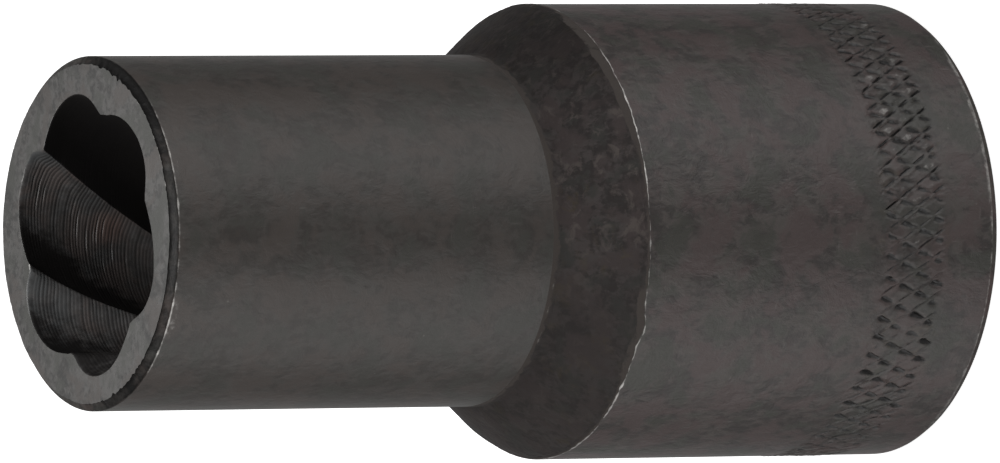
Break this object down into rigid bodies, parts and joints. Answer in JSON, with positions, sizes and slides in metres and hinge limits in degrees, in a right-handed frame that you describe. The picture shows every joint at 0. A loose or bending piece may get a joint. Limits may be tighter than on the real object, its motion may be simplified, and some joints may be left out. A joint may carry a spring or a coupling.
{
  "type": "screw extractor",
  "caption": "Black steel extractor socket: a fluted left-hand tapered mouth grips a rounded nut or bolt head, and a square recess takes the drive.",
  "frame": {"origin": "centre of the drive end face, on the socket's axis, where it stands", "axes": "+Z along the axis from the drive end to the fluted mouth; -Y is the side that the reference picture sees; +X by the right-hand rule"},
  "size_m": [0.025, 0.025, 0.0504],
  "materials": {
    "black_oxide_steel": "satin black oxide on forged and turned steel, with worn bright edges"
  },
  "bodies": {
    "root": {"extractor_socket": "black_oxide_steel"}
  },
  "joints": []
}
